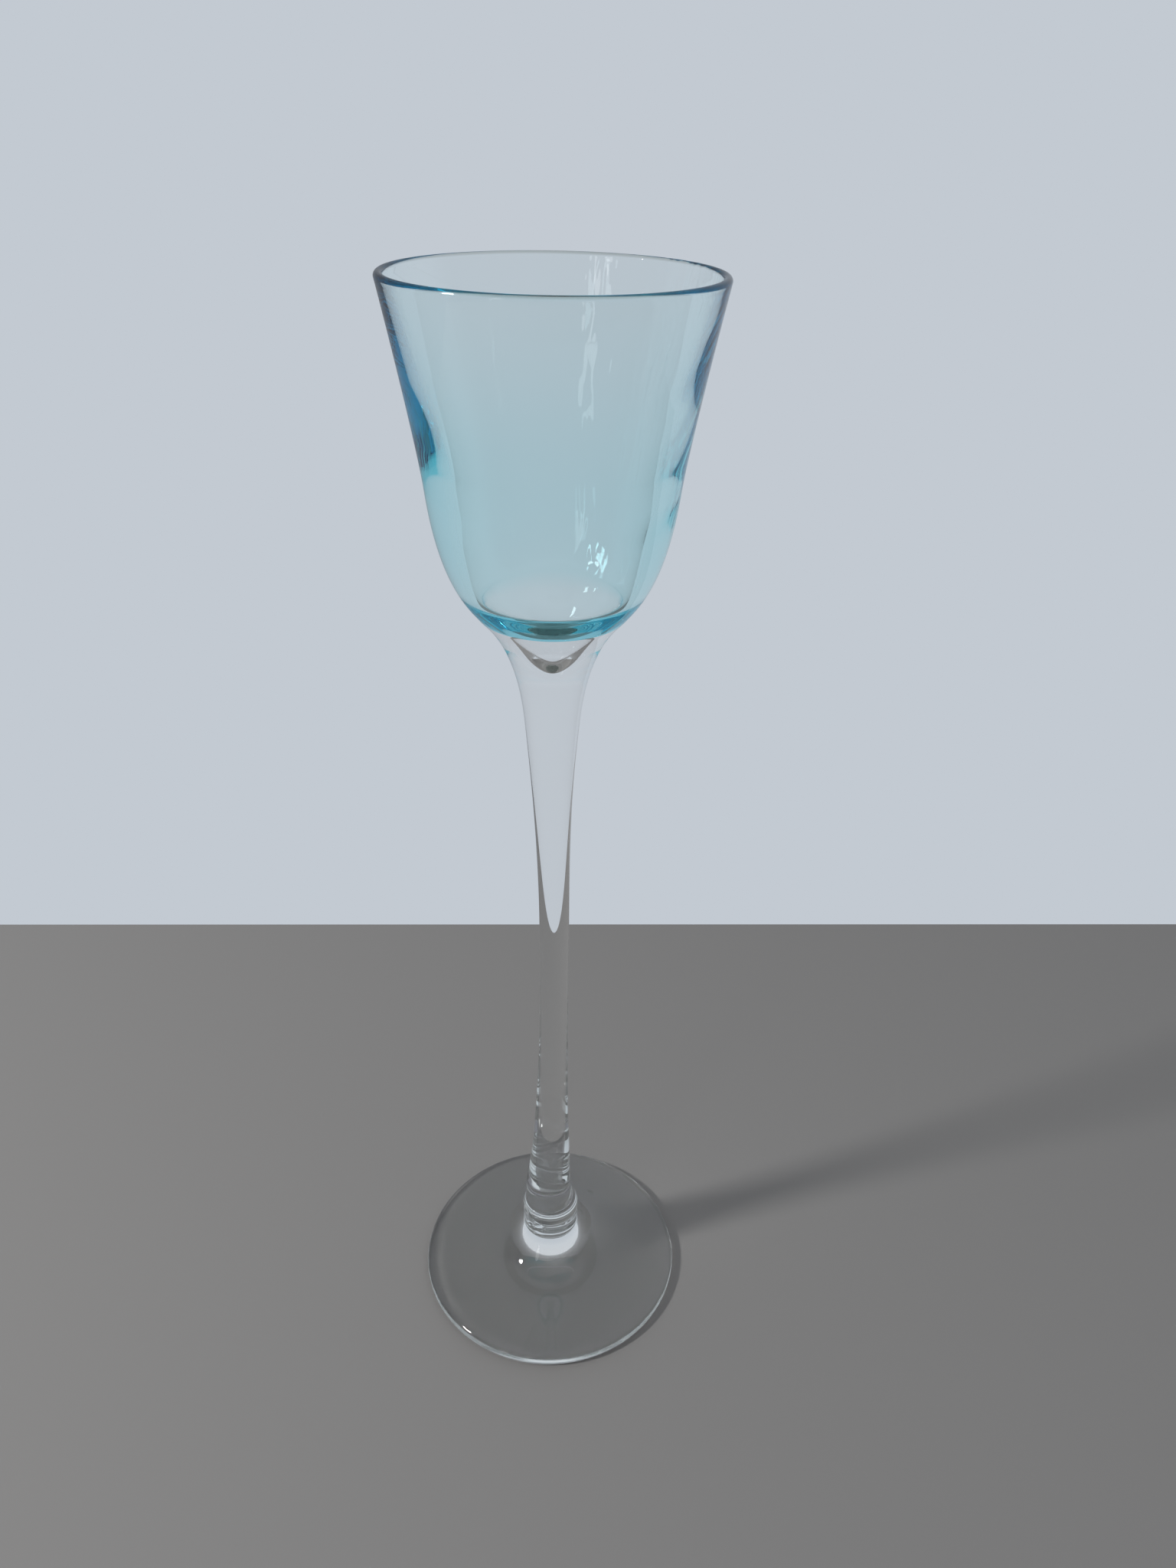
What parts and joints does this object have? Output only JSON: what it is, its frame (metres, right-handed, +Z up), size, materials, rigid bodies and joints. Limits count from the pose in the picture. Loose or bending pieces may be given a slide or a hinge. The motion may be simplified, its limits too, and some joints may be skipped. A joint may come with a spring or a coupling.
{
  "type": "stemmed glass",
  "caption": "Hand-made cordial glass: a flared aqua bowl on a long clear stem that widens into a trumpet under it, with a round clear foot.",
  "frame": {"origin": "middle of the foot's underside, on the plane that the glass stands on", "axes": "+Z up along the glass's axis, from the foot to the rim; the glass is round, so +X and +Y are free"},
  "size_m": [0.059, 0.059, 0.22],
  "materials": {
    "aqua_glass": "fire-polished, see-through, pale aqua",
    "clear_glass": "fire-polished, see-through, colourless"
  },
  "bodies": {
    "root": {"bowl": "aqua_glass", "stem": "clear_glass", "foot": "clear_glass"}
  },
  "joints": []
}
